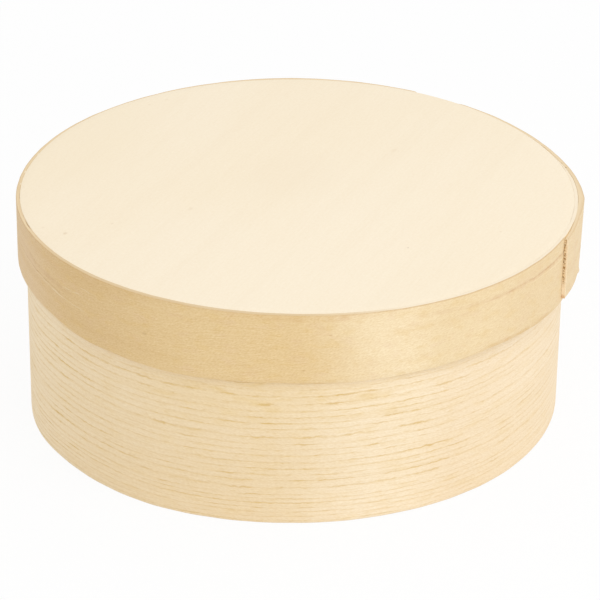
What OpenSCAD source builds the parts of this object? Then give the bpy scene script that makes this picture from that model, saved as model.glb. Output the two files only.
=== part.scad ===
// Round box of bent wood veneer, with a lift-off lid that overlaps the top of its body.
// Each hoop is one strip bent round a plywood panel, with its two ends lapped and glued.
// Millimetres. The origin is the centre of the underside, +Z is up and the front faces -Y.

/* [Body] */
// Outside diameter of the body hoop, away from its lap
body_d = 190; // [120:1:300]
// Height of the body hoop, from the table to its rim
body_h = 76.8; // [45:0.2:150]
// Thickness of the body's strip
body_veneer = 1.3; // [0.8:0.1:2]
// Angle over which the body strip's two ends overlap
body_lap = 50; // [30:1:120]
// Direction of the body strip's outer end, counted from +X towards +Y
body_lap_end = 75; // [0:1:359]

/* [Lid] */
// Height of the lid hoop
lid_h = 25; // [12:0.5:40]
// Thickness of the lid's strip
lid_veneer = 1.3; // [0.8:0.1:2]
// Angle over which the lid strip's two ends overlap
lid_lap = 45; // [30:1:120]
// Direction of the lid strip's outer end, counted from +X towards +Y
lid_lap_end = 337; // [0:1:359]
// Depth of the lid panel's face below the lid hoop's rim
lid_recess = 0.2; // [0:0.1:2]
// Free play between the lid hoop and the body's lap, on the radius
lid_play = 0.9; // [0.4:0.1:2]

/* [Strips and panels] */
// Angle over which a strip's inner end is pared down to nothing
skive = 20; // [12:1:28]
// Thickness of the glue line between wood and wood
glue_line = 0.1; // [0.05:0.01:0.2]
// Thickness of a panel's outer and inner plies
face_ply = 0.8; // [0.5:0.1:1.5]
// Thickness of a panel's core ply
core_ply = 1.4; // [0.6:0.1:3]

/* [Hidden] */
$fn = 360;

spruce = [0.90, 0.81, 0.67];
tan_veneer = [0.86, 0.73, 0.53];
pale_ply = [0.97, 0.92, 0.82];
core_wood = [0.88, 0.78, 0.62];

panel_t = 2 * face_ply + core_ply;

// Radii of the body hoop, then of the lid hoop that passes over the body's lap
body_inner_r = body_d / 2 - body_veneer;
body_lap_r = body_d / 2 + glue_line + body_veneer;
lid_inner_r = body_lap_r + lid_play;

base_panel_r = body_inner_r - glue_line;
lid_panel_r = lid_inner_r - glue_line;

// The lid panel rests on the body hoop's rim
lid_panel_z = body_h;
lid_top_z = lid_panel_z + panel_t + lid_recess;
lid_hoop_z = lid_top_z - lid_h;

// Offset of a circle that has polar radius foot_r at angle 0 and top_r at the given angle
function climb_offset(foot_r, top_r, angle) =
    (top_r * top_r - foot_r * foot_r) / (2 * (foot_r - top_r * cos(angle)));

// Wedge from the axis between two angles less than 180 degrees apart, wider than any hoop
module wedge(from, to) {
    reach = 2 * body_d;
    middle = (from + to) / 2;
    polygon([
        [0, 0],
        reach * [cos(from), sin(from)],
        reach * [cos(middle), sin(middle)],
        reach * [cos(to), sin(to)]
    ]);
}

// Area inside a face that runs round at radius top_r and comes down to radius face_r over the last skive
// before angle lap, made smaller by inset. The way down ends a glue line under face_r, so that it crosses
// that face at a clean edge.
module lap_area(face_r, top_r, lap, inset) {
    foot_r = face_r - glue_line;
    offset_x = climb_offset(foot_r, top_r, skive);
    intersection() {
        circle(top_r - inset);
        rotate(lap)
            translate([-offset_x, 0])
                circle(foot_r + offset_x - inset);
    }
}

// Plan of a lapped strip whose outer end is at angle 0. The inner face is a full circle. The outer
// layer comes down to it over the pared inner end, which lies at angle lap. The glue line between the
// layers starts before the outer end, so that it opens there.
module hoop_plan(inner_r, veneer, lap) {
    outer_r = inner_r + veneer;
    lap_inner_r = outer_r + glue_line;
    lap_outer_r = lap_inner_r + veneer;
    difference() {
        union() {
            circle(outer_r);
            intersection() {
                lap_area(outer_r, lap_outer_r, lap, 0);
                wedge(0, lap);
            }
        }
        circle(inner_r);
        intersection() {
            difference() {
                lap_area(inner_r, lap_inner_r, lap, 0);
                lap_area(inner_r, lap_inner_r, lap, glue_line);
            }
            wedge(-skive, lap);
        }
    }
}

module body_hoop() {
    color(spruce)
        rotate(body_lap_end)
            linear_extrude(body_h)
                hoop_plan(body_inner_r, body_veneer, body_lap);
}

module lid_hoop() {
    color(tan_veneer)
        translate([0, 0, lid_hoop_z])
            rotate(lid_lap_end)
                linear_extrude(lid_h)
                    hoop_plan(lid_inner_r, lid_veneer, lid_lap);
}

// One sheet of a panel
module ply(panel_r, z, thickness) {
    translate([0, 0, z])
        cylinder(r = panel_r, h = thickness);
}

module base_outer_ply() {
    color(pale_ply)
        ply(base_panel_r, 0, face_ply);
}

module base_core_ply() {
    color(core_wood)
        ply(base_panel_r, face_ply, core_ply);
}

module base_inner_ply() {
    color(pale_ply)
        ply(base_panel_r, face_ply + core_ply, face_ply);
}

module lid_inner_ply() {
    color(pale_ply)
        ply(lid_panel_r, lid_panel_z, face_ply);
}

module lid_core_ply() {
    color(core_wood)
        ply(lid_panel_r, lid_panel_z + face_ply, core_ply);
}

module lid_outer_ply() {
    color(pale_ply)
        ply(lid_panel_r, lid_panel_z + face_ply + core_ply, face_ply);
}

body_hoop();
base_outer_ply();
base_core_ply();
base_inner_ply();
lid_hoop();
lid_outer_ply();
lid_core_ply();
lid_inner_ply();
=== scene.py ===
"""Round box of bent wood veneer with a lift-off lid: its visible pieces, stage, lights and camera.

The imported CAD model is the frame, and each of its eight nodes is replaced by a wooden piece. A hoop is
one long strip with its ends lapped, a mesh of columns along the strip and points round its edge. A ply
is a disc that follows its hoop's slightly oval outline. Each piece has a UV map of real distances:
along the grain, then across it.
"""

import math
from dataclasses import dataclass
from typing import Callable

import bpy
import numpy as np
from mathutils import Matrix, Vector


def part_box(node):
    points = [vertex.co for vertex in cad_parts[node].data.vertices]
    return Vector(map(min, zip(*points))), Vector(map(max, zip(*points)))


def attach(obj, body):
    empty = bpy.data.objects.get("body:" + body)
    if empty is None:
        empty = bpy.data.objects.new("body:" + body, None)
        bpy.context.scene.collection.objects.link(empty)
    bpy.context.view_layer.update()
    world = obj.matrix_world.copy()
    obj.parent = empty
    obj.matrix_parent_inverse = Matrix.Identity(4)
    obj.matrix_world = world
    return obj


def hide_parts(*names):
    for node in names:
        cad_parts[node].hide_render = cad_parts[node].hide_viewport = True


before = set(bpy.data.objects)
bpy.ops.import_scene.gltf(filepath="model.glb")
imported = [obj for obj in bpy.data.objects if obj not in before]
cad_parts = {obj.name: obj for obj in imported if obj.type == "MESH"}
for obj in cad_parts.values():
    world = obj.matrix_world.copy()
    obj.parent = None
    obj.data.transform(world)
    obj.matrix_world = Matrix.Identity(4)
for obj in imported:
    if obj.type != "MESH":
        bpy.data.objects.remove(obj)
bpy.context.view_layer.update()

MM = 0.001

# Strips, as in the CAD model: angles in degrees, counted from +X towards +Y
VENEER = 1.3 * MM
GLUE_LINE = 0.1 * MM
SKIVE = 20
LID_LAP_END = -23
LID_LAP = 45
BODY_LAP_END = 75
BODY_LAP = 50

# What the CAD model leaves out: the pared inner tip, eased edges, and closed glue lines
TIP = 0.12 * MM
ARRIS = 0.16 * MM
PLY_ARRIS = 0.04 * MM
ARRIS_ANGLES = np.radians([30, 60])
SEEN_GLUE = 0.01 * MM

# Shares of the eased edge that are left on a strip's inner top edge, and under the lap
CRISP = 0.4
PRESSED = 0.4


def smooth(low, high, value):
    """Smooth step from 0 at low to 1 at high."""
    share = np.clip((value - low) / (high - low), 0, 1)
    return share * share * (3 - 2 * share)


def bump(centre, width, value):
    """Smooth hill of height 1 and about that half width."""
    return np.exp(-(((value - centre) / width) ** 2))


def ripple(value, pitches, seed):
    """Seeded sum of waves of about unit size, with the given wavelengths."""
    random = np.random.default_rng(seed)
    wave = np.zeros_like(value)
    for pitch in pitches:
        wave = wave + np.sin(2 * math.pi * value / pitch + random.uniform(0, 2 * math.pi))
    return wave / math.sqrt(len(pitches))


def curve(knots, value):
    """Smooth path through knots, each a place and a height there."""
    places, heights = np.array(knots).T
    slopes = np.gradient(heights, places)
    first = np.clip(np.searchsorted(places, value, side="right") - 1, 0, len(places) - 2)
    span = places[first + 1] - places[first]
    share = np.clip((value - places[first]) / span, 0, 1)
    rest = 1 - share
    start = rest * rest * ((1 + 2 * share) * heights[first] + share * span * slopes[first])
    end = share * share * ((1 + 2 * rest) * heights[first + 1] - rest * span * slopes[first + 1])
    return start + end


def lobe(degrees, sharpness, angle):
    """Smooth hill of height 1 round a direction."""
    return np.clip(np.cos(angle - math.radians(degrees)), 0, 1) ** sharpness


# Outlines

# Small local bends of each hoop: direction, sharpness and step out in mm
BODY_BENDS = [
    (-143, 40, -0.6),
    (-113, 40, 0.15),
    (-158, 60, 0.35),
]
LID_BENDS = [
    (39, 20, -0.4),
    (4, 30, 0.2),
    (193, 60, 0.12),
    (164, 60, -0.2),
]

# Long bends of two, three or four waves to the turn, steps aside, and the lid's step in, all in mm
BODY_TWO = 1.28
BODY_FOUR = 0.3
BODY_RIGHT = 0.15
LID_TWO = 0.15
LID_THREE = 0.34
LID_RIGHT = 0.35
LID_FRONT = 0.28
LID_IN = 0.4

# Dent at the front left of the lid's top, and how far its rim is worn down there on the outside
DENT_AT = -112
DENT_SHARPNESS = 6
DENT = 0.5 * MM
DENT_WEAR = 0.27 * MM


def bends(table, angle):
    """Sum of a hoop's local bends, in mm."""
    return sum(step * lobe(direction, sharpness, angle) for direction, sharpness, step in table)


def dented(angle):
    """How far each direction lies in the lid's dent, from 0 to 1."""
    return lobe(DENT_AT, DENT_SHARPNESS, angle)


def body_oval(angle):
    """Steps of the hand-bent body from a true circle. Its lap at the back stays clear of the lid."""
    back_right = 2 * np.clip(np.sin(angle), 0, 1) * np.clip(np.cos(angle), 0, 1)
    two = BODY_TWO * np.sin(2 * angle) * (1 - smooth(0, 0.6, back_right))
    four = BODY_FOUR * np.cos(4 * angle)
    return MM * (two - four + bends(BODY_BENDS, angle) + BODY_RIGHT * np.cos(angle))


def lid_oval(angle):
    """Steps of the hand-bent lid from a true circle. It sits a little to the right and to the front."""
    moved = LID_RIGHT * np.cos(angle) - LID_FRONT * np.sin(angle)
    waves = LID_TWO * np.cos(2 * angle) + LID_THREE * np.sin(3 * angle)
    return MM * (moved - waves + bends(LID_BENDS, angle) - LID_IN) - DENT * dented(angle)


def node_radius(node):
    """Radius of a round CAD node."""
    low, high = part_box(node)
    return max(high.x - low.x, high.y - low.y) / 2


def node_heights(node):
    """Lowest and highest z of a CAD node."""
    low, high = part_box(node)
    return low.z, high.z


# Meshes


def quads(here, there, point, after, count):
    """Faces between neighbouring columns, each of so many points."""
    corners = [here * count + point, here * count + after, there * count + after, there * count + point]
    return np.stack(corners, -1).reshape(-1, 4)


def new_object(name, data):
    """An object in the scene."""
    made = bpy.data.objects.new(name, data)
    bpy.context.scene.collection.objects.link(made)
    return made


def new_piece(name, points, faces, uvs, face_values, body, node, slot, material):
    """A mesh piece that rides on a body in place of a CAD node, with its UV maps and face values."""
    mesh = bpy.data.meshes.new(name)
    mesh.from_pydata(points.tolist(), [], faces)
    for uv_name, uv in uvs.items():
        layer = mesh.uv_layers.new(name=uv_name)
        layer.uv.foreach_set("vector", np.asarray(uv, np.float32).ravel())
    for value_name, values in face_values.items():
        attribute = mesh.attributes.new(value_name, "FLOAT", "FACE")
        attribute.data.foreach_set("value", np.asarray(values, np.float32))
    flat = face_values.get("end_grain", np.zeros(len(faces)))
    mesh.polygons.foreach_set("use_smooth", np.asarray(flat) < 0.5)
    mesh.materials.append(material)
    mesh.validate()
    piece = new_object(name, mesh)
    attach(piece, body)
    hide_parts(node)
    return piece


# Strips


@dataclass
class Strip:
    """One bent strip. Its lap ends at an angle, and the strip runs clockwise from its inner tip."""
    inner_r: float
    low: float
    high: float
    lap_end: float
    lap: float
    oval: Callable
    rows: int
    bake_rows: int

    @property
    def tip(self):
        """Direction of the inner tip."""
        return self.lap_end + self.lap

    @property
    def length(self):
        """Degrees from the inner tip to the outer end."""
        return 360 + self.lap

    @property
    def height(self):
        return self.high - self.low

    def angle(self, turn):
        """Direction, in radians, at so many degrees from the inner tip."""
        return np.radians(self.tip - turn)

    def turn(self, degrees, layer=0):
        """Degrees from the inner tip to a direction, on the inner or the outer layer."""
        return (self.tip - degrees) % 360 + 360 * layer

    def distance(self, turn):
        """Distance along the strip to so many degrees from the inner tip."""
        return math.radians(turn) * self.inner_r

    def along(self, degrees, layer=0):
        """Distance along the strip to a direction."""
        return self.distance(self.turn(degrees, layer))


# Degrees between columns, which are closer together over the last degrees of a strip
COLUMN_STEP = 0.8
FINE_SPAN = 3
FINE_COLUMNS = 24

# Degrees over which a strip rises onto its own tip, and over which its eased edge gets pressed
TIP_RISE = (357, 359.5)
PRESSED_FADE = 1

# Largest share of a strip's thickness that one eased edge takes
ARRIS_LIMIT = 0.45


def strip_turns(strip):
    """Angles travelled from the inner tip, closer together near the outer end."""
    fine_from = strip.length - FINE_SPAN
    coarse = np.linspace(0, fine_from, round(fine_from / COLUMN_STEP), endpoint=False)
    return np.concatenate([coarse, np.linspace(fine_from, strip.length, FINE_COLUMNS + 1)])


def strip_layers(strip, turn):
    """Direction, inner radius and outer radius of the strip at each turn."""
    angle = strip.angle(turn)
    lift = TIP * smooth(*TIP_RISE, turn)
    lift += (VENEER + SEEN_GLUE - TIP) * smooth(360, 360 + SKIVE, turn)
    thickness = TIP + (VENEER - TIP) * smooth(0, SKIVE, turn)
    inner = strip.inner_r + lift + strip.oval(angle)
    return angle, inner, inner + thickness


def section_template(rows):
    """Points round the strip's edge: share of the way out and up, then steps in arris radii out and up."""
    up = np.linspace(0, 1, rows + 1)
    bend = ARRIS_ANGLES
    points = [(1, share, 0, 1 - 2 * share) for share in up]
    points += [(1, 1, math.cos(b) - 1, math.sin(b) - 1) for b in bend]
    points += [(1, 1, -1, 0), (0.5, 1, 0, 0), (0, 1, CRISP, 0)]
    points += [(0, 1, CRISP * (1 - math.sin(b)), CRISP * (math.cos(b) - 1)) for b in bend]
    points += [(0, share, 0, 1 - (1 + CRISP) * share) for share in up[::-1]]
    points += [(0, 0, 1 - math.cos(b), 1 - math.sin(b)) for b in bend]
    points += [(0, 0, 1, 0), (0.5, 0, 0, 0), (1, 0, -1, 0)]
    points += [(1, 0, math.sin(b) - 1, 1 - math.cos(b)) for b in bend]
    return np.array(points).T


def rim_points(rows):
    """First and last section point of the top edge, between its two arrises."""
    first = rows + 1 + len(ARRIS_ANGLES)
    return first, first + 2


def inner_point(rows, row):
    """Section point of the inner face at a row."""
    return rows + 1 + 2 * len(ARRIS_ANGLES) + 3 + (rows - row)


def section_length(strip, out_share, up_share):
    """Distance round the strip's edge to each point, and at the end all the way round."""
    out = np.append(out_share, out_share[0]) * VENEER
    up = np.append(up_share, up_share[0]) * strip.height
    return np.concatenate([[0], np.cumsum(np.hypot(np.diff(out), np.diff(up)))])


def strip_points(strip, shape, turn):
    """Mesh points, column by column. shape gives the steps out, back and up of each point."""
    angle, inner, outer = strip_layers(strip, turn)
    out_share, up_share, arris_out, arris_up = section_template(strip.rows)
    pressed = (1 - PRESSED) * smooth(strip.lap, strip.lap - PRESSED_FADE, turn)
    arris = (np.minimum(ARRIS, ARRIS_LIMIT * (outer - inner)) * (1 - pressed))[:, None]
    step_out, step_back, step_up = shape(strip, turn[:, None], out_share[None, :], up_share[None, :])
    reach = inner[:, None] + (outer - inner)[:, None] * out_share + arris * arris_out + step_out
    height = strip.low + strip.height * up_share + arris * arris_up + step_up
    height = np.clip(height, 0, strip.high)
    swing = angle[:, None] + step_back / strip.inner_r
    return np.stack([reach * np.cos(swing), reach * np.sin(swing), height], -1).reshape(-1, 3)


def strip_piece(name, strip, shape, **details):
    """Builds a strip's mesh and UV maps. shape(strip, turn, out, up) gives its departures."""
    turn = strip_turns(strip)
    out_share, up_share, _, _ = section_template(strip.rows)
    columns, count = len(turn), len(out_share)
    column = np.arange(columns - 1)[:, None]
    point = np.arange(count)
    faces = quads(column, column + 1, point, (point + 1) % count, count)

    along = np.radians(turn) * strip.inner_r
    around = section_length(strip, out_share, up_share)
    sheet = sheet_corners(along, around)
    layout = BakeLayout(strip, along[-1], around[-1])
    caps, cap_grain, cap_bake = strip_caps(strip, along, around, layout)
    uvs = {
        "grain": np.concatenate([sheet.reshape(-1, 2), cap_grain]),
        "OFBake": np.concatenate([layout.place(sheet).reshape(-1, 2), cap_bake]),
    }
    first, last = rim_points(strip.rows)
    on_rim = np.tile((point >= first) & (point < last), columns - 1)
    face_values = {
        "rim": np.concatenate([on_rim, np.zeros(len(caps))]),
        "end_grain": np.concatenate([np.zeros(len(faces)), np.ones(len(caps))]),
    }
    points = strip_points(strip, shape, turn)
    return new_piece(name, points, faces.tolist() + caps, uvs, face_values, **details)


def sheet_corners(along, around):
    """UV corners of the sheet's faces, in the order of their points."""
    first, second = along[:-1, None], along[1:, None]
    start, end = around[None, :-1], around[None, 1:]
    corners = [(first, start), (first, end), (second, end), (second, start)]
    return np.stack([np.stack(np.broadcast_arrays(u, v), -1) for u, v in corners], 2)


BAKE_GAP = 3 * MM


class BakeLayout:
    """Lays a long sheet out in rows in the unit square, its outer half and inner half apart."""

    def __init__(self, strip, length, girth):
        self.rows = strip.bake_rows
        self.row_length = length / self.rows
        self.half = girth / 2
        self.pitch = self.half + BAKE_GAP
        self.side = max(self.row_length + 2 * BAKE_GAP, 2 * self.rows * self.pitch)

    def place(self, uv):
        """Places in the unit square of the faces' corners on the sheet."""
        middle = uv.mean(-2, keepdims=True)
        row = np.clip(np.floor(middle[..., 0] / self.row_length), 0, self.rows - 1)
        inside = (middle[..., 1] > self.half).astype(float)
        u = uv[..., 0] - row * self.row_length + BAKE_GAP
        v = uv[..., 1] - inside * self.half + (2 * row + inside) * self.pitch + BAKE_GAP / 2
        return np.stack([u, v], -1) / self.side


def strip_caps(strip, along, around, layout):
    """Faces that close the strip's two ends, with their UV corners beside the outer face's ends."""
    rows, count = strip.rows, len(around) - 1
    rings = []
    for row in range(rows):
        inner = inner_point(rows, row)
        rings.append([row, row + 1, inner - 1, inner])
    rings.append(list(range(rows, inner_point(rows, rows) + 1)))
    rings.append(list(range(inner_point(rows, 0), count)) + [0])
    out_share, up_share, _, _ = section_template(rows)
    caps, grain, baked = [], [], []
    for column, sign in ((0, -1), (len(along) - 1, 1)):
        for ring in rings:
            order = ring if sign > 0 else ring[::-1]
            caps.append([column * count + point for point in order])
            depth = VENEER * (1 - out_share[order])
            corners = np.stack([along[column] + sign * depth, strip.height * up_share[order]], -1)
            grain.append(corners)
            baked.append(layout.place(corners))
    return caps, np.concatenate(grain), np.concatenate(baked)


# Plies

SECTORS = 360
PLY_RINGS = 14

# Places in the bake's unit square: radius and centre of the seen face, then of the other face
BAKE_FACE = 0.475
BAKE_FACE_CENTRE = 0.5
BAKE_BACK = 0.08
BAKE_BACK_CENTRE = 0.09


def ply_section():
    """Points from the top's middle to the underside's: share out, arrises out, share up, arrises up."""
    rings = np.sqrt(np.linspace(0, 1, PLY_RINGS + 1))[1:-1]
    bend = np.append(0, ARRIS_ANGLES)
    section = [(share, 0, 1, 0) for share in rings]
    section += [(1, math.sin(b) - 1, 1, math.cos(b) - 1) for b in bend]
    section += [(1, 0, 1, -1), (1, 0, 0, 1)]
    section += [(1, math.sin(b) - 1, 0, 1 - math.cos(b)) for b in bend[::-1]]
    section += [(share, 0, 0, 0) for share in rings[::-1]]
    return np.array(section).T


def ply_points(angle, edge, low, high):
    """Mesh points, sector by sector, then the middles of the top and the underside."""
    share, arris_out, up, arris_up = ply_section()
    reach = edge[:, None] * share + PLY_ARRIS * arris_out
    x, y = reach * np.cos(angle)[:, None], reach * np.sin(angle)[:, None]
    z = np.broadcast_to(low + (high - low) * up + PLY_ARRIS * arris_up, reach.shape)
    points = np.stack([x, y, z], -1).reshape(-1, 3)
    return np.concatenate([points, [[0, 0, high], [0, 0, low]]])


def ply_faces(count):
    """Faces between the sectors, and the fans round the two middles."""
    sector = np.arange(SECTORS)[:, None]
    ring = np.arange(count - 1)
    faces = quads(sector, (sector + 1) % SECTORS, ring, ring + 1, count).tolist()
    top_middle, low_middle = SECTORS * count, SECTORS * count + 1
    for here in range(SECTORS):
        there = (here + 1) % SECTORS
        faces.append([top_middle, here * count, there * count])
        faces.append([low_middle, there * count + count - 1, here * count + count - 1])
    return faces


def ply_bake(angle, seen_up):
    """Bake places of the points: the seen face fills the square, and the other lies small in a corner."""
    share, _, up, _ = ply_section()
    on_back = (up > 0.5) != seen_up
    reach = np.append(np.tile(np.where(on_back, BAKE_BACK, BAKE_FACE) * share, SECTORS), [0, 0])
    back = np.append(np.tile(on_back, SECTORS), [not seen_up, seen_up])
    around = np.append(np.repeat(angle, len(share)), [0, 0])
    centre = np.where(back, BAKE_BACK_CENTRE, BAKE_FACE_CENTRE)[:, None]
    return centre + reach[:, None] * np.stack([np.cos(around), np.sin(around)], -1)


def ply_piece(name, node, oval, raised, grain_angle, seen_up, **details):
    """Builds a disc that follows its hoop's outline, with eased edges and its upper face raised."""
    low, high = node_heights(node)
    angle = np.linspace(0, 2 * math.pi, SECTORS, endpoint=False)
    edge = node_radius(node) + GLUE_LINE - SEEN_GLUE + oval(angle)
    points = ply_points(angle, edge, low, high + raised)
    faces = ply_faces(ply_section().shape[1])
    corners = np.concatenate(faces)
    uvs = {
        "grain": turned_plan(points[corners, :2], grain_angle),
        "OFBake": ply_bake(angle, seen_up)[corners],
    }
    return new_piece(name, points, faces, uvs, {}, node=node, **details)


def turned_plan(points, degrees):
    """Plan coordinates turned so that the first runs along the grain."""
    turn = math.radians(degrees)
    x, y = points[..., 0], points[..., 1]
    along = x * math.cos(turn) + y * math.sin(turn)
    across = y * math.cos(turn) - x * math.sin(turn)
    return np.stack([along, across], -1)


# Materials

# Raw wood's gloss, and the shares of a shade's step that red, green and blue take
SPECULAR = 0.25
SHEEN = 0.03
SHADE_SHARES = (0.65, 1, 1.7)


def srgb(red, green, blue):
    """Linear colour, with alpha, of an 8-bit display colour."""
    shares = [value / 255 for value in (red, green, blue)]
    linear = [s / 12.92 if s <= 0.04045 else ((s + 0.055) / 1.055) ** 2.4 for s in shares]
    return (*linear, 1)


class Graph:
    """A material's node tree, with short calls that add a node and give back its result."""

    def __init__(self, name):
        self.material = bpy.data.materials.new(name)
        self.material.use_nodes = True
        self.tree = self.material.node_tree
        self.tree.nodes.clear()

    def node(self, kind, inputs, **settings):
        made = self.tree.nodes.new("ShaderNode" + kind)
        for name, value in settings.items():
            setattr(made, name, value)
        for key, value in inputs.items():
            if isinstance(value, bpy.types.NodeSocket):
                self.tree.links.new(value, made.inputs[key])
            else:
                made.inputs[key].default_value = value
        return made

    def math(self, operation, *values):
        return self.node("Math", dict(enumerate(values)), operation=operation).outputs[0]

    def add(self, first, *others):
        for other in others:
            first = self.math("ADD", first, other)
        return first

    def times(self, first, *others):
        for other in others:
            first = self.math("MULTIPLY", first, other)
        return first

    def level(self, mask, low, high):
        """Level that goes from low to high as a mask goes from 0 to 1."""
        return self.add(low, self.times(mask, high - low))

    def step(self, value, low, high):
        """Smooth step from 0 at low to 1 at high, which may be the smaller of the two."""
        inputs = {0: value, 1: low, 2: high}
        return self.node("MapRange", inputs, interpolation_type="SMOOTHSTEP").outputs[0]

    def centred(self, value, size):
        """Turns a value from 0 to 1 into a step of up to half that size either way."""
        return self.times(self.add(value, -0.5), size)

    def random(self, value):
        return self.node("TexWhiteNoise", {"W": value}, noise_dimensions="1D").outputs[0]

    def mix(self, factor, first, second, blend="MIX"):
        inputs = {0: factor, 6: first, 7: second}
        return self.node("Mix", inputs, data_type="RGBA", blend_type=blend).outputs[2]

    def lay(self, colour, tone, share, *masks):
        """Lays a display colour over a colour, by that share where the masks are 1."""
        return self.mix(self.times(share, *masks), colour, srgb(*tone))

    def shade(self, colour, *steps):
        """Makes a colour lighter or darker by the sum of the steps, and browner as it darkens."""
        total = self.add(*steps)
        levels = [self.add(1, self.times(total, share)) for share in SHADE_SHARES]
        tint = self.node("CombineColor", dict(enumerate(levels))).outputs[0]
        return self.mix(1, colour, tint, blend="MULTIPLY")


class WoodGraph(Graph):
    """A wood's material, drawn by distances along and across its grain."""

    def __init__(self, name):
        super().__init__(name)
        uv = self.node("UVMap", {}, uv_map="grain").outputs[0]
        parts = self.node("SeparateXYZ", {0: uv}).outputs
        self.along, self.across = parts[0], parts[1]

    def noise(self, per_metre, along=None, across=None, detail=2, seed=0, lean=0):
        """Noise with so many features to the metre along and across the grain, which may lean along it."""
        along = self.along if along is None else along
        across = self.across if across is None else across
        x = self.times(self.add(along, self.times(across, lean)), per_metre[0])
        y = self.times(across, per_metre[1])
        place = self.node("CombineXYZ", {0: x, 1: y, 2: seed}).outputs[0]
        inputs = {"Vector": place, "Scale": 1, "Detail": detail}
        return self.node("TexNoise", inputs, noise_dimensions="3D").outputs[0]

    def stroke(self, across, start, end, width, fade):
        """Mask of a thin line between two places on the wood, faded out at its ends."""
        slope = (end[1] - start[1]) / (end[0] - start[0])
        centre = self.add(self.times(self.add(self.along, -start[0]), slope), start[1])
        off = self.math("ABSOLUTE", self.math("SUBTRACT", across, centre))
        line = self.step(off, width, 0.3 * width)
        opens = self.step(self.along, start[0] - fade, start[0] + fade)
        closes = self.step(self.along, end[0] + fade, end[0] - fade)
        return self.times(line, opens, closes)

    def spot(self, place, size):
        """Mask of a soft spot with the given half lengths along and across the grain."""
        x = self.times(self.add(self.along, -place[0]), 1 / size[0])
        y = self.times(self.add(self.across, -place[1]), 1 / size[1])
        off = self.math("SQRT", self.add(self.times(x, x), self.times(y, y)))
        return self.step(off, 1, 0.2)

    def attribute(self, name):
        return self.node("Attribute", {}, attribute_name=name).outputs["Fac"]

    def wood(self, colour, roughness, relief, depth):
        """Finishes the material: raw wood with its relief as bump."""
        normal = self.node("Bump", {"Strength": 1, "Distance": depth, "Height": relief})
        shader = self.node("BsdfPrincipled", {
            "Base Color": colour,
            "Roughness": roughness,
            "Normal": normal.outputs[0],
            "Specular IOR Level": SPECULAR,
            "Sheen Weight": SHEEN,
        })
        self.node("OutputMaterial", {0: shader.outputs[0]})
        return self.material


class StripGraph(WoodGraph):
    """A strip's material, with masks by direction, taken clockwise along the strip."""

    def __init__(self, name, strip):
        super().__init__(name)
        self.strip = strip

    def turning(self, start, end):
        """Mask that goes from 0 at one direction to 1 at another."""
        return self.step(self.along, self.strip.along(start), self.strip.along(end))

    def stretch(self, rise, fall):
        """Mask that rises between two directions and falls between two more."""
        return self.times(self.turning(*rise), self.turning(*fall[::-1]))

    def turned(self, tone, changes):
        """Colour that starts as a tone and turns into the next one between each two directions."""
        colour = srgb(*tone)
        for start, end, next_tone in changes:
            colour = self.lay(colour, next_tone, self.turning(start, end))
        return colour


# Body's strip

# Its tone: between two directions it turns into the next colour. Paler at the front right is a painted
# sheen
SPRUCE_START = (247, 228, 198)
SPRUCE_AND_SHEEN_CHANGES = [
    (-54, -68, (251, 234, 205)),
    (-74, -95, (244, 223, 187)),
    (-128, -162, (248, 229, 196)),
]

# What is laid over that tone
SPRUCE_CLOUD = (251, 249, 245)
# Golden mottles, also laid as painted shade below the lid
SPRUCE_GOLDEN_AND_SHADE = (237, 210, 158)
SPRUCE_STREAK = (234, 206, 156)
SPRUCE_BAND = (232, 202, 146)
SPRUCE_LINE = (216, 179, 102)
SPRUCE_DASH = (206, 164, 74)
SPRUCE_FLECK = (224, 190, 120)
SPRUCE_RIM = (240, 215, 168)
SPRUCE_END = (208, 170, 116)

# Its growth lines: their distance apart, the same near the foot, how high that is, and the relief
RING_PITCH = 2.5 * MM
FOOT_PITCH = 1.75 * MM
FOOT_HEIGHT = 11 * MM
SPRUCE_RELIEF = 0.05 * MM


def growth_lines(g):
    """Wandering growth lines: place across them, then number, offset and distance of the nearest."""
    slow = g.centred(g.noise((6, 12), seed=1), 4 * MM)
    quick = g.centred(g.noise((75, 150), seed=2), MM)
    frayed = g.centred(g.noise((450, 900), seed=3), 1.1 * MM)
    uneven = g.centred(g.noise((1, 150), along=0, detail=1, seed=4), 1)
    place = g.add(g.across, slow, quick)
    foot = g.add(g.math("MINIMUM", place, FOOT_HEIGHT), -FOOT_HEIGHT)
    closer = g.times(foot, 1 / FOOT_PITCH - 1 / RING_PITCH)
    ring = g.add(g.times(place, 1 / RING_PITCH), closer, uneven)
    number = g.math("FLOOR", ring)
    off = g.centred(g.math("FRACT", ring), RING_PITCH)
    distance = g.math("ABSOLUTE", g.add(off, frayed))
    return place, number, off, distance


def line_strength(g, place, number):
    """Strength of the growth lines: each has its own, which fades, breaks, and differs by side."""
    run = g.noise((60, 1), across=g.times(number, 3.7), detail=3, seed=10)
    breaks = g.noise((260, 700), across=place, seed=13)
    faded = g.level(g.step(run, 0.36, 0.62), 0.25, 1)
    broken = g.level(g.step(breaks, 0.36, 0.62), 0.55, 1.3)
    near_foot = g.step(g.across, 17 * MM, 11 * MM)
    at_right = g.times(g.turning(-66, -44), g.level(near_foot, -0.3, -0.18))
    at_left = g.times(g.turning(-126, -146), g.level(near_foot, 0.35, 0.85))
    own = g.level(g.random(number), 0.45, 1)
    return g.times(own, faded, broken, g.add(1, at_right, at_left))


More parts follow.
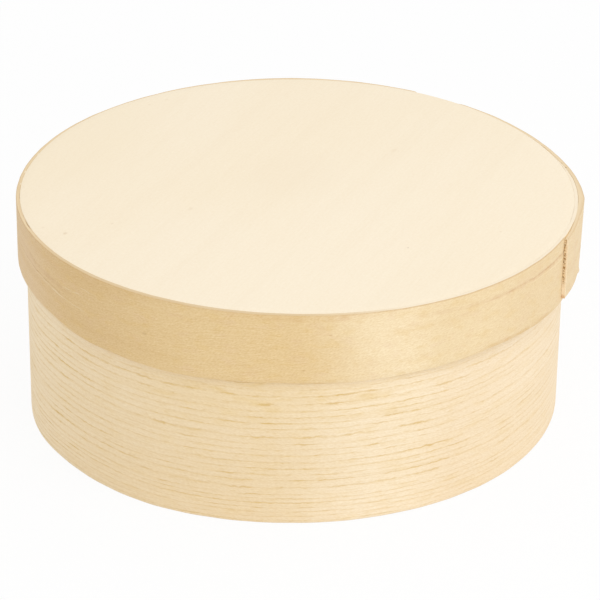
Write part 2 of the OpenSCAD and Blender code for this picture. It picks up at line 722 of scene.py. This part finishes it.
def spruce_tone(g, place):
    """The body's colour without its lines: by direction with a painted sheen, clouded, streaked, and
    golden below the lid, partly as painted shade.
    """
    mottle = g.noise((90, 330), across=place, seed=7)
    streak = g.noise((11, 850), across=place, seed=8)
    cloud = g.noise((9, 26), seed=9)
    front = g.stretch((-52, -84), (-112, -132))
    right = g.stretch((-28, -36), (-56, -66))
    # Painted shade of the lid at the front, laid golden with the mottles, and painted warm shade just
    # under the lid's edge at the right
    under_lid_shade = g.times(front, g.step(g.across, 30 * MM, 50 * MM))
    painted_edge_shade = g.times(right, g.step(g.across, 50 * MM, 54.5 * MM))
    mottled = g.times(g.step(mottle, 0.48, 0.75), g.level(under_lid_shade, 0.3, 0.7))
    golden = g.add(g.times(under_lid_shade, 0.28), mottled, g.times(painted_edge_shade, 0.3))
    # Tone by direction; paler at the front right is a painted sheen
    colour = g.turned(SPRUCE_START, SPRUCE_AND_SHEEN_CHANGES)
    colour = g.mix(g.step(cloud, 0.3, 0.7), colour, srgb(*SPRUCE_CLOUD), blend="MULTIPLY")
    colour = g.lay(colour, SPRUCE_GOLDEN_AND_SHADE, golden)
    return g.lay(colour, SPRUCE_STREAK, 0.3, g.step(streak, 0.45, 0.75))


def spruce_veneer(strip):
    """Quarter-cut spruce: broken growth lines, closer near the foot, with golden dashes and flecks."""
    g = StripGraph("spruce_veneer", strip)
    place, number, off, distance = growth_lines(g)
    strength = line_strength(g, place, number)
    fibre = g.noise((160, 2600), seed=5, lean=5)
    slant = g.add(g.across, g.times(g.along, -0.28))
    speckle = g.noise((900, 2500), across=slant, seed=6, lean=0.9)
    line = g.times(g.step(distance, 0.4 * MM, 0.05 * MM), strength)
    band = g.times(g.step(off, -MM, -0.1 * MM), g.step(off, 0.4 * MM, 0), strength)
    in_front = g.stretch((-32, -60), (-112, -140))
    run = g.noise((95, 1), across=g.times(number, 5.3), seed=11)
    ragged = g.add(run, g.centred(speckle, 0.3), g.times(distance, -0.5 / MM))
    dash = g.times(g.step(ragged, 0.48, 0.64), g.level(in_front, 0.3, 0.8))
    scatter = g.noise((200, 950), across=place, seed=12, lean=0.9)
    fleck = g.times(g.step(scatter, 0.58, 0.72), g.level(in_front, 0.06, 0.24))

    colour = spruce_tone(g, place)
    colour = g.lay(colour, SPRUCE_BAND, 0.22, band)
    colour = g.lay(colour, SPRUCE_LINE, 0.46, line)
    colour = g.lay(colour, SPRUCE_DASH, 0.5, dash)
    colour = g.lay(colour, SPRUCE_FLECK, fleck)
    colour = g.shade(colour, g.centred(speckle, 0.32), g.centred(fibre, 0.16))
    colour = g.lay(colour, SPRUCE_RIM, 0.5, g.attribute("rim"))
    colour = g.lay(colour, SPRUCE_END, 0.6, g.attribute("end_grain"))
    relief = g.add(g.times(fibre, 0.5), g.times(speckle, 0.5), g.times(line, -0.6))
    return g.wood(colour, g.level(fibre, 0.52, 0.74), relief, SPRUCE_RELIEF)


# Lid's strip

# Its tan: between two directions it turns into the next colour. The paler band at the front right, most at
# about -65 degrees, is a painted sheen
TAN_START = (233, 209, 167)
TAN_AND_SHEEN_CHANGES = [
    (-36, -54, (238, 215, 173)),
    (-58, -69, (246, 225, 186)),
    (-71, -91, (232, 203, 152)),
    (-110, -136, (225, 194, 143)),
    (-138, -158, (228, 199, 156)),
]

# What is laid over that tan, and the relief
TAN_LAP = (234, 211, 171)
TAN_CLOUD = (220, 184, 122)
TAN_STREAK = (208, 170, 112)
TAN_GOLD = (224, 188, 116)
TAN_BLUSH = (226, 190, 158)
# Darker band along the lower edge at the right
TAN_LOWER_EDGE_DARK = (206, 162, 98)
TAN_LIT = (246, 229, 196)
# Painted shade at the knee in the lap
TAN_KNEE_SHADE = (224, 194, 160)
TAN_RELIEF = 0.045 * MM

# Its top edge
RIM_LIGHT = (238, 214, 174)
RIM_TAN = (231, 204, 161)
RIM_HANDLED = (214, 186, 142)
RIM_PALE = (251, 236, 210)
RIM_ARRIS = (204, 168, 118)

# Its outer end
# Painted highlight on the outer face's edge beside the end
END_HIGHLIGHT = (249, 228, 192)
END_PALE = (250, 230, 198)
END_FOOT = (226, 190, 150)
# Torn end grain towards the inner layer, partly painted shade of the gap there
END_TORN_AND_SHADE = (222, 188, 130)
END_DARK = (150, 108, 48)

# Strokes on the lid's strip: from and to, each a direction and mm up, half width in mm, share, colour
LID_MARKS_AND_LIGHT = [
    # The split: two wide dark bands and a dark line, crack colour and painted shade in its groove, then a
    # pale line below, a painted highlight on its lower lip
    ((-8, 19.4), (-44, 19.4), 1.2, 0.24, (206, 160, 118)),
    ((-40, 19.4), (-64, 20.9), 1.2, 0.18, (208, 166, 122)),
    ((-14, 19.6), (-46, 19.5), 0.35, 0.42, (194, 146, 100)),
    ((-16, 17.3), (-36, 18.3), 0.25, 0.4, (252, 234, 202)),
    ((-74, 24), (-100, 24.2), 1.5, 0.2, (210, 166, 106)),
    ((-141, 13.9), (-160, 16.2), 1.4, 0.22, (194, 150, 108)),
    ((-143, 11.8), (-164, 13.6), 0.3, 0.42, (184, 142, 92)),
    ((-135, 10.4), (-148, 11.2), 0.25, 0.6, (242, 224, 190)),
    ((-143, 11), (-161, 12.8), 0.2, 0.5, (240, 220, 186)),
    ((-136.6, 15.6), (-141.6, 15.1), 0.2, 0.55, (242, 224, 190)),
    ((-133.6, 18.2), (-136.4, 18.7), 0.18, 0.5, (242, 224, 190)),
]
STROKE_FADE = 0.3

# Soft spots on the lid's strip: direction, height, half length and half width in mm, share, colour
LID_SPOTS = [
    (-120, 11.3, 1.4, 0.7, 0.22, (170, 128, 78)),
    (-83, 17.8, 1, 0.4, 0.4, (196, 150, 92)),
    (-88, 4.8, 1, 0.4, 0.4, (196, 150, 92)),
]

# Gaps and chips on its top edge: direction, layer, half length and half width in mm, share, colour
RIM_SPOTS = [
    (11.5, 1, 0.7, 0.5, 0.9, (140, 108, 62)),
    (13.8, 1, 0.8, 0.35, 0.6, (176, 142, 94)),
    (26.5, 0, 0.6, 0.3, 0.4, (190, 152, 102)),
    (35, 0, 0.6, 0.3, 0.4, (190, 152, 102)),
    (164.5, 0, 1.4, 0.35, 0.9, (252, 238, 212)),
    (174, 0, 1.8, 0.45, 0.9, (252, 238, 212)),
    (180, 0, 1.2, 0.4, 0.9, (252, 238, 212)),
    (200, 0, 4.5, 0.35, 0.8, (172, 134, 84)),
]
RIM_SPOT_IN = 1.2 * MM

# Painted shade at the knee in the lid's lap: direction and height of its middle, then half length and half
# width
KNEE_SHADE_AT = -16
KNEE_SHADE_UP = 11 * MM
KNEE_SHADE_SIZE = (2.6 * MM, 13 * MM)


def tan_tone(g, place, gold):
    """The lid's colour without marks: by direction with a painted sheen, clouded, streaked, golden,
    blushed.
    """
    blush = g.noise((130, 260), seed=26)
    cloud = g.noise((22, 70), detail=3, seed=27)
    streak = g.noise((9, 260), across=place, seed=30)
    streaked = g.level(g.turning(-104, -124), 0.04, 0.18)
    lap_start = g.strip.distance(360)
    # Tone by direction; its paler band at the front right is a painted sheen
    colour = g.turned(TAN_START, TAN_AND_SHEEN_CHANGES)
    colour = g.lay(colour, TAN_LAP, g.step(g.along, lap_start, lap_start + 20 * MM))
    colour = g.lay(colour, TAN_CLOUD, 0.13, g.step(cloud, 0.42, 0.7))
    colour = g.lay(colour, TAN_STREAK, streaked, g.step(streak, 0.42, 0.72))
    colour = g.lay(colour, TAN_GOLD, 0.22, g.step(gold, 0.5, 0.72))
    return g.lay(colour, TAN_BLUSH, 0.16, g.step(blush, 0.52, 0.74))


def tan_marks_and_light(g, colour, place, gold, figure):
    """Adds broken strokes with the split's painted shade and highlight, spots, a darker lower edge at the
    right, a painted highlight on it at the left, and painted shade at the lap's knee.
    """
    strip = g.strip
    jag = g.centred(g.noise((230, 1), across=0, detail=3, seed=35), 1.5 * MM)
    jagged = g.add(place, jag)
    gaps = g.step(g.noise((240, 160), seed=36), 0.4, 0.58)
    broken = g.level(gaps, 0.4, 1.1)
    # Strokes: marks in the wood, and at the split painted shade and a painted highlight
    for (start, start_up), (end, end_up), width, share, tone in LID_MARKS_AND_LIGHT:
        stroke_from = (strip.along(start), start_up * MM)
        stroke_to = (strip.along(end), end_up * MM)
        fade = STROKE_FADE * (stroke_to[0] - stroke_from[0])
        stroke_mask = g.stroke(jagged, stroke_from, stroke_to, width * MM, fade)
        colour = g.lay(colour, tone, share, stroke_mask, broken)
    for direction, up, length, width, share, tone in LID_SPOTS:
        spot = g.spot((strip.along(direction), up * MM), (length * MM, width * MM))
        colour = g.lay(colour, tone, share, spot)
    # Darker band along the lower edge at the right, golden in places
    lower_edge_dark = g.times(g.stretch((-25, -32), (-48, -58)), g.step(g.across, 2.2 * MM, 0.5 * MM))
    colour = g.lay(colour, TAN_LOWER_EDGE_DARK, 0.34, lower_edge_dark, g.step(gold, 0.3, 0.6))
    lit = g.times(g.stretch((-136, -146), (-158, -166)), g.step(g.across, 0.7 * MM, 0.25 * MM))
    colour = g.lay(colour, TAN_LIT, 0.6, lit)
    # Painted shade at the lap's knee, streaked by the figure
    crease = g.spot((strip.along(KNEE_SHADE_AT, 1), KNEE_SHADE_UP), KNEE_SHADE_SIZE)
    return g.lay(colour, TAN_KNEE_SHADE, 0.4, crease, g.step(figure, 0.35, 0.6))


def tan_rim(g, colour):
    """Adds the top edge: pale at the right, handled at the left, chipped, with a darker arris."""
    strip = g.strip
    rim = g.attribute("rim")
    pale = g.stretch((strip.tip, 14), (-66, -84))
    paler = g.times(g.turning(66, 38), 0.12)
    handled = g.stretch((-78, -92), (-140, -160))
    mottle = g.step(g.noise((40, 900), seed=28), 0.4, 0.65)
    rim_colour = g.lay(srgb(*RIM_LIGHT), RIM_TAN, mottle)
    rim_colour = g.lay(rim_colour, RIM_HANDLED, 0.42, handled)
    rim_colour = g.lay(rim_colour, RIM_PALE, g.add(pale, paler))
    colour = g.mix(rim, colour, rim_colour)
    for direction, layer, length, width, share, tone in RIM_SPOTS:
        middle = (strip.along(direction, layer), strip.height + RIM_SPOT_IN)
        spot = g.spot(middle, (length * MM, width * MM))
        colour = g.lay(colour, tone, share, spot, rim)
    off_arris = g.math("ABSOLUTE", g.add(g.across, -strip.height))
    bare = g.step(g.along, strip.distance(strip.lap - PRESSED_FADE), strip.distance(strip.lap))
    arris_line = g.times(g.step(off_arris, 0.3 * MM, 0.08 * MM), bare)
    return g.lay(colour, RIM_ARRIS, g.level(pale, 0.25, 0.5), arris_line)


def tan_lap_end(g, colour):
    """Adds the lap's outer end: a painted highlight beside it, and its torn end grain with dark flecks,
    partly painted shade by the inner layer.
    """
    end_place = g.strip.along(g.strip.lap_end, 1)
    # Painted highlight along the outer face's edge beside the end
    beside = g.step(g.along, end_place - 1.3 * MM, end_place - 0.5 * MM)
    colour = g.lay(colour, END_HIGHLIGHT, 0.8, beside, g.step(g.across, g.strip.height, 0))
    depth = g.add(g.along, -end_place)
    fleck = g.noise((1500, 1000), detail=3, seed=29)
    # Torn, darker end grain with dark flecks towards the inner layer and the top, partly painted shade of
    # the gap there
    torn = g.times(g.step(depth, 0.3 * MM, 0.7 * MM), g.step(g.across, 4 * MM, 8 * MM))
    end_colour = g.lay(srgb(*END_PALE), END_FOOT, g.step(g.across, 2 * MM, 0.4 * MM))
    end_colour = g.lay(end_colour, END_TORN_AND_SHADE, 0.45, torn)
    end_colour = g.lay(end_colour, END_DARK, 0.8, torn, g.step(fleck, 0.46, 0.58))
    return g.mix(g.attribute("end_grain"), colour, end_colour)


def tan_veneer(strip):
    """Fine tan veneer, speckled and a little clouded, with the marks that the photograph shows, and
    painted sheen, shade and highlights.
    """
    g = StripGraph("tan_veneer", strip)
    wave = g.centred(g.noise((45, 80), seed=21), 1.5 * MM)
    place = g.add(g.across, wave)
    slant = g.add(place, g.times(g.along, 0.12))
    speckle = g.noise((1200, 2600), across=slant, seed=22, lean=0.7)
    fibre = g.noise((330, 2900), across=slant, seed=23, lean=2.5)
    figure = g.noise((90, 1900), across=slant, detail=1, seed=24, lean=6)
    gold = g.noise((160, 330), seed=25)
    figured = g.level(g.stretch((-88, -95), (-108, -122)), 0.05, 0.14)

    colour = tan_tone(g, place, gold)
    colour = g.shade(colour, g.centred(speckle, 0.43), g.centred(fibre, 0.28), g.centred(figure, figured))
    colour = tan_marks_and_light(g, colour, place, gold, figure)
    colour = tan_rim(g, colour)
    colour = tan_lap_end(g, colour)
    relief = g.add(g.times(speckle, 0.6), g.times(fibre, 0.6))
    return g.wood(colour, g.level(fibre, 0.5, 0.72), relief, TAN_RELIEF)


# Plywood

TOP_GRAIN = 66
KNOT = (200, 164, 116)

# Pin knots, smudges and two broad shades on the top: mm right, mm back, half sizes in mm, share, colour
TOP_SPOTS = [
    (-85.9, -35.1, 1.2, 0.7, 0.12, (200, 164, 114)),
    (-78.1, -39.4, 1.4, 1, 0.26, (196, 158, 106)),
    (-62.6, -31.3, 0.9, 0.6, 0.15, KNOT),
    (-36.4, -18.6, 2.2, 1.1, 0.12, KNOT),
    (-48.9, 76, 1.6, 1, 0.1, KNOT),
    (-55, 71.1, 1.2, 0.8, 0.11, KNOT),
    (69.8, -33.8, 0.7, 0.5, 0.18, KNOT),
    (38, -47.1, 0.7, 0.5, 0.26, (150, 112, 70)),
    (35.1, 32.8, 2.6, 1.2, 0.13, (214, 182, 136)),
    (-2, 10, 30, 24, 0.2, (244, 226, 196)),
    (-84, 42, 80, 46, 0.25, (246, 228, 193)),
]
PLY_PALE = (253, 239, 214)
PLY_CLOUD = (252, 237, 210)
PLY_STREAK = (244, 226, 196)
PLY_RELIEF = 0.03 * MM
CORE_PALE = (222, 192, 146)
CORE_DARK = (190, 152, 102)
CORE_RELIEF = 0.08 * MM


def pale_plywood(name, spots):
    """Sanded pale ply with faint streaks along its grain, and spots at places on its plan."""
    g = WoodGraph(name)
    streak = g.noise((7, 130), detail=3, seed=31)
    fibre = g.noise((90, 1500), detail=3, seed=32)
    cloud = g.noise((9, 14), seed=33)
    speckle = g.noise((800, 1100), seed=34)
    colour = g.lay(srgb(*PLY_PALE), PLY_CLOUD, g.step(cloud, 0.3, 0.7))
    colour = g.lay(colour, PLY_STREAK, 0.12, g.step(streak, 0.45, 0.75))
    colour = g.shade(colour, g.centred(fibre, 0.05), g.centred(speckle, 0.085))
    for right, back, length, width, share, tone in spots:
        middle = turned_plan(np.array([right, back]) * MM, TOP_GRAIN).tolist()
        spot = g.spot(middle, (length * MM, width * MM))
        colour = g.lay(colour, tone, share, spot)
    return g.wood(colour, g.level(fibre, 0.5, 0.7), fibre, PLY_RELIEF)


def plywood_core():
    """Rougher, darker veneer between the two faces."""
    g = WoodGraph("plywood_core")
    streak = g.noise((8, 300), detail=3, seed=41)
    fibre = g.noise((60, 1600), detail=3, seed=42)
    colour = g.lay(srgb(*CORE_PALE), CORE_DARK, g.step(streak, 0.4, 0.7))
    return g.wood(colour, g.level(fibre, 0.6, 0.8), fibre, CORE_RELIEF)


# Small departures of the strips, at a turn and at shares of the way out and up

# The lid strip's lower edge: direction, going on clockwise past the full turn, and step up in mm
LID_LOWER_EDGE = [
    (22, 0.5), (-24, 0.4), (-35, 0.5), (-46, 0.5), (-56, -0.25), (-68, -1.25), (-78, -1.5),
    (-88, -0.95), (-96, -0.75), (-106, -1), (-118, -1), (-127, -0.2), (-136, -0.1),
    (-146, 1.2), (-160, 2.2), (-200, 1.8), (-270, 0.6), (-338, 2.2), (-370, 2.4), (-377, 1.6), (-383, 1.9),
]
# Its upper edge: direction and step down in mm
LID_UPPER_EDGE = [
    (22, 0.05), (-18, 0.03), (-100, 0.04), (-168, 0.05), (-190, 0.1), (-207, 0.35),
    (-235, 0.4), (-254, 0.15), (-268, 0.08), (-280, 0.15), (-295, 0.35), (-310, 0.45),
    (-317, 0.25), (-325, 0.2), (-333, 0.05), (-374, 0.1), (-383, 0.8),
]
LOWER_RIPPLE = 0.08 * MM
UPPER_RIPPLE = 0.03 * MM

# Notch in the upper edge at the back right: from and to, depth, and degrees that its two sides take
NOTCH = (-297, -310)
NOTCH_DEPTH = 0.9 * MM
NOTCH_SIDES = (1, 7)

# Lean of the lid's lower edge at the front, with a bevel below, and ripples of its face
LID_LEAN = 2.5 * MM
LEAN_AT = -74
LEAN_SHARPNESS = 8
BEVEL = 0.35 * MM
BEVEL_HEIGHT = 1.3 * MM
LID_RIPPLE = 0.04 * MM

# Gap between strip and top at the left: direction, half width in degrees, and width
GAP_AT = -160.5
GAP_HALF = 3
GAP = 0.12 * MM

# Knee in the lid's lap: directions at foot and top, half width in degrees, steps out, and a spur below
KNEE_LOW, KNEE_HIGH = -10, -3.5
KNEE_HALF = 9
KNEE_LOW_STEP = 0.3 * MM
KNEE_HIGH_STEP = 0.85 * MM
SPUR = 0.4 * MM
SPUR_HALF = 0.9
SPUR_HEIGHT = 1.5 * MM

# Split along the lid's strip: depth, half width, height, its rise, and where it rises and fades out
SPLIT_DEPTH = 0.1 * MM
SPLIT_HALF = 0.45 * MM
SPLIT_HEIGHT = 19.5 * MM
SPLIT_RISE = MM
SPLIT_RISES = (-44, -60)
SPLIT_FADES = (-45, -62)

# Ragged ends of the strips: degrees that they reach back, how far the lid's is set back, and how ragged
END_SPAN = 2.4
RECEDED = 0.9 * MM
LID_TEAR = 0.18 * MM
BODY_TEAR = 0.12 * MM

# Ripples of the body strip's face and edges
BODY_RIPPLE = 0.06 * MM
BODY_EDGE_RIPPLE = 0.05 * MM


def lid_edges(strip, turn, out, up):
    """Steps up: the lid's uneven edges, the notch, and the rim worn at the dent."""
    lower_edge = [(strip.tip - direction, step * MM) for direction, step in LID_LOWER_EDGE]
    upper_edge = [(strip.tip - direction, step * MM) for direction, step in LID_UPPER_EDGE]
    notch_start, notch_end = [strip.tip - direction for direction in NOTCH]
    notch = smooth(notch_start, notch_start + NOTCH_SIDES[0], turn)
    notch = notch * smooth(notch_end, notch_end - NOTCH_SIDES[1], turn)
    lower = curve(lower_edge, turn) + LOWER_RIPPLE * ripple(turn, (9, 17, 31), 1)
    upper = curve(upper_edge, turn) + NOTCH_DEPTH * notch
    upper = upper + UPPER_RIPPLE * (1 + ripple(turn, (7, 13, 29), 2))
    worn = DENT_WEAR * dented(strip.angle(turn)) * out * up ** 20
    return lower * (1 - up) - upper * up ** 3 - worn


def lid_face(strip, turn, out, up):
    """Steps out: lean and bevel at the front, a dent that fades below, ripples, and the gap."""
    angle = strip.angle(turn)
    in_front = lobe(LEAN_AT, LEAN_SHARPNESS, angle)
    lean = (DENT * dented(angle) - LID_LEAN * in_front) * (1 - up)
    bevel = BEVEL * in_front * smooth(BEVEL_HEIGHT, 0, strip.height * up) * out
    waves = LID_RIPPLE * ripple(turn, (5, 11, 23), 3)
    gap = GAP * bump(strip.turn(GAP_AT), GAP_HALF, turn) * up ** 8
    return lean - bevel + waves + gap


def lid_knee(strip, turn, out, up):
    """Steps out: the knee in the lid's lap."""
    knee_at = strip.turn(KNEE_LOW, 1) + (KNEE_LOW - KNEE_HIGH) * up
    tent = np.clip(1 - np.abs(turn - knee_at) / KNEE_HALF, 0, 1)
    return out * tent * (KNEE_LOW_STEP + (KNEE_HIGH_STEP - KNEE_LOW_STEP) * up)


def lid_spur(strip, turn, out, up):
    """Steps out and down: the spur at the knee's foot."""
    near_foot = smooth(SPUR_HEIGHT, 0, strip.height * up)
    return SPUR * bump(strip.turn(KNEE_LOW, 1), SPUR_HALF, turn) * near_foot * out


def lid_split(strip, turn, out, up):
    """Steps in: the groove of the split, on the outer face of the strip's first half turn."""
    rise_start, rise_end = [strip.turn(direction) for direction in SPLIT_RISES]
    fade_start, fade_end = [strip.turn(direction) for direction in SPLIT_FADES]
    groove_at = SPLIT_HEIGHT + SPLIT_RISE * smooth(rise_start, rise_end, turn)
    groove = bump(groove_at, SPLIT_HALF, strip.height * up) * smooth(fade_end, fade_start, turn)
    return SPLIT_DEPTH * groove * (turn < 180) * (out > 0.9)


def near_end(strip, turn):
    """Goes from 0 to 1 over the last degrees of a strip."""
    return smooth(strip.length - END_SPAN, strip.length, turn)


def lid_end(strip, turn, out, up):
    """Steps back: the lid's outer end, set back and torn above its foot."""
    height = strip.height * up
    torn = 0.35 + 0.65 * smooth(4 * MM, 8 * MM, height)
    waves = ripple(height + 3 * MM * out, (0.9 * MM, 1.7 * MM, 4.1 * MM), 4)
    ragged = LID_TEAR * torn * (1.2 + waves) * (1 - 0.5 * out)
    return near_end(strip, turn) * (RECEDED + ragged)


def lid_shape(strip, *where):
    """The lid strip's small departures, as steps out, back and up."""
    spur = lid_spur(strip, *where)
    step_out = lid_face(strip, *where) + lid_knee(strip, *where) + spur - lid_split(strip, *where)
    return step_out, lid_end(strip, *where), lid_edges(strip, *where) - spur


def body_shape(strip, turn, out, up):
    """The body strip's small departures, the same on both faces, as steps out, back and up."""
    step_out = BODY_RIPPLE * ripple(turn, (9, 21, 47), 11) * (0.4 + 0.6 * up)
    low = BODY_EDGE_RIPPLE * (1.2 + ripple(turn, (8, 19, 37), 12)) * (1 - up)
    high = BODY_EDGE_RIPPLE * (1.2 + ripple(turn, (7, 15, 41), 13)) * up
    waves = ripple(strip.height * up, (1.3 * MM, 3.7 * MM, 9 * MM), 14)
    return step_out, near_end(strip, turn) * BODY_TEAR * (1.2 + waves), low - high


# The box

TOP_RAISED = 0.12 * MM
BASE_GRAIN = 20
CROSSED = 90


def build_box():
    """Builds the eight pieces: two strips, and the three plies of the base and of the lid."""
    body_low, body_high = node_heights("body_hoop")
    lid_low, lid_high = node_heights("lid_hoop")
    body = Strip(
        inner_r=node_radius("base_inner_ply") + GLUE_LINE, low=body_low, high=body_high,
        lap_end=BODY_LAP_END, lap=BODY_LAP, oval=body_oval, rows=48, bake_rows=2,
    )
    lid = Strip(
        inner_r=node_radius("lid_outer_ply") + GLUE_LINE, low=lid_low, high=lid_high,
        lap_end=LID_LAP_END, lap=LID_LAP, oval=lid_oval, rows=56, bake_rows=4,
    )
    strip_piece("body_strip", body, body_shape, body="box", node="body_hoop", slot="spruce_veneer",
                material=spruce_veneer(body))
    strip_piece("lid_strip", lid, lid_shape, body="lid", node="lid_hoop", slot="tan_veneer",
                material=tan_veneer(lid))
    pale = pale_plywood("pale_plywood", [])
    top = pale_plywood("pale_plywood_top", TOP_SPOTS)
    core = plywood_core()
    # Piece, node, body, rise of the upper face, grain, whether the upper face is the seen one, material
    plies = [
        ("base_underside", "base_outer_ply", "box", 0, BASE_GRAIN, False, pale),
        ("base_core", "base_core_ply", "box", 0, BASE_GRAIN + CROSSED, True, core),
        ("base_floor", "base_inner_ply", "box", 0, BASE_GRAIN, True, pale),
        ("lid_ceiling", "lid_inner_ply", "lid", 0, TOP_GRAIN, False, pale),
        ("lid_core", "lid_core_ply", "lid", 0, TOP_GRAIN + CROSSED, True, core),
        ("lid_top", "lid_outer_ply", "lid", TOP_RAISED, TOP_GRAIN, True, top),
    ]
    for name, node, rides_on, raised, grain_angle, seen_up, material in plies:
        ply_piece(
            name, node, body_oval if rides_on == "box" else lid_oval, raised, grain_angle, seen_up,
            body=rides_on, slot="plywood_core" if material == core else "pale_plywood", material=material,
        )


# Stage

# Camera, fitted to the photograph's outlines
LENS = 181
CLIP_START = 0.05
CAMERA_DISTANCE = 1.0785
CAMERA_ELEVATION = math.radians(27.07)
CAMERA_ROLL = math.radians(0.73)
AIM_HEIGHT = 34.4 * MM
AIM_RIGHT = 1.83 * MM
AIM_UP = MM

# Floor, even light and the soft lamp
FLOOR_DROP = 0.1 * MM
FLOOR_HALF = 3
FLOOR_GLOW = 0.9
FLOOR_PAINT = (0.97, 0.97, 0.97, 1)
WHITE = (1, 1, 1, 1)
LIGHT_LEVEL = 0.85
KEY_POWER = 3.4
KEY_SIZE = 0.9
KEY_DISTANCE = 1.2
KEY_DIRECTION = math.radians(-42)
KEY_ELEVATION = math.radians(40)


def seen_ray(g):
    """1 for camera, glossy and transmission rays, 0 for the rays that carry light."""
    path = g.node("LightPath", {}).outputs
    seen = g.math("MAXIMUM", path["Is Camera Ray"], path["Is Glossy Ray"])
    return g.math("MAXIMUM", seen, path["Is Transmission Ray"])


class WorldGraph(Graph):
    """The world's node tree, with the same short calls."""

    def __init__(self, world):
        world.use_nodes = True
        self.tree = world.node_tree
        self.tree.nodes.clear()


def add_world():
    """Even light from all sides, and a white backdrop."""
    world = bpy.data.worlds.new("studio")
    bpy.context.scene.world = world
    g = WorldGraph(world)
    light = g.node("Background", {"Color": WHITE, "Strength": LIGHT_LEVEL})
    seen = g.node("Background", {"Color": WHITE, "Strength": 1})
    either = g.node("MixShader", {0: seen_ray(g), 1: light.outputs[0], 2: seen.outputs[0]})
    g.node("OutputWorld", {0: either.outputs[0]})


def add_floor():
    """White floor that glows a little to the camera, so that the object's shadow on it stays faint."""
    mesh = bpy.data.meshes.new("floor")
    half = FLOOR_HALF
    corners = [(-half, -half), (half, -half), (half, half), (-half, half)]
    mesh.from_pydata([(x, y, -FLOOR_DROP) for x, y in corners], [], [(0, 1, 2, 3)])
    floor = new_object("floor", mesh)
    g = Graph("floor_white")
    paint = g.node("BsdfDiffuse", {"Color": FLOOR_PAINT})
    glow = g.node("Emission", {"Color": WHITE, "Strength": 1})
    share = g.times(seen_ray(g), FLOOR_GLOW)
    either = g.node("MixShader", {0: share, 1: paint.outputs[0], 2: glow.outputs[0]})
    g.node("OutputMaterial", {0: either.outputs[0]})
    mesh.materials.append(g.material)


def add_key():
    """Wide soft lamp from the front right."""
    lamp = bpy.data.lights.new("key", "AREA")
    lamp.energy = KEY_POWER
    lamp.size = KEY_SIZE
    key = new_object("key", lamp)
    level = math.cos(KEY_ELEVATION)
    across, front = level * math.cos(KEY_DIRECTION), level * math.sin(KEY_DIRECTION)
    away = Vector((across, front, math.sin(KEY_ELEVATION)))
    key.location = Vector((0, 0, AIM_HEIGHT)) + away * KEY_DISTANCE
    key.rotation_euler = away.to_track_quat("Z", "Y").to_euler()


def add_camera():
    """The photograph's camera, turned a little about its own axis."""
    back = Vector((0, -math.cos(CAMERA_ELEVATION), math.sin(CAMERA_ELEVATION)))
    level = Vector((1, 0, 0))
    upright = Vector((0, math.sin(CAMERA_ELEVATION), math.cos(CAMERA_ELEVATION)))
    right = level * math.cos(CAMERA_ROLL) + upright * math.sin(CAMERA_ROLL)
    up = upright * math.cos(CAMERA_ROLL) - level * math.sin(CAMERA_ROLL)
    aim = Vector((0, 0, AIM_HEIGHT)) + right * AIM_RIGHT + up * AIM_UP
    data = bpy.data.cameras.new("camera")
    data.lens = LENS
    data.clip_start = CLIP_START
    camera = new_object("camera", data)
    turn = Matrix((right, up, back)).transposed().to_4x4()
    camera.matrix_world = Matrix.Translation(aim + back * CAMERA_DISTANCE) @ turn
    bpy.context.scene.camera = camera


build_box()
add_world()
add_floor()
add_key()
add_camera()
bpy.context.scene.view_settings.view_transform = "Standard"
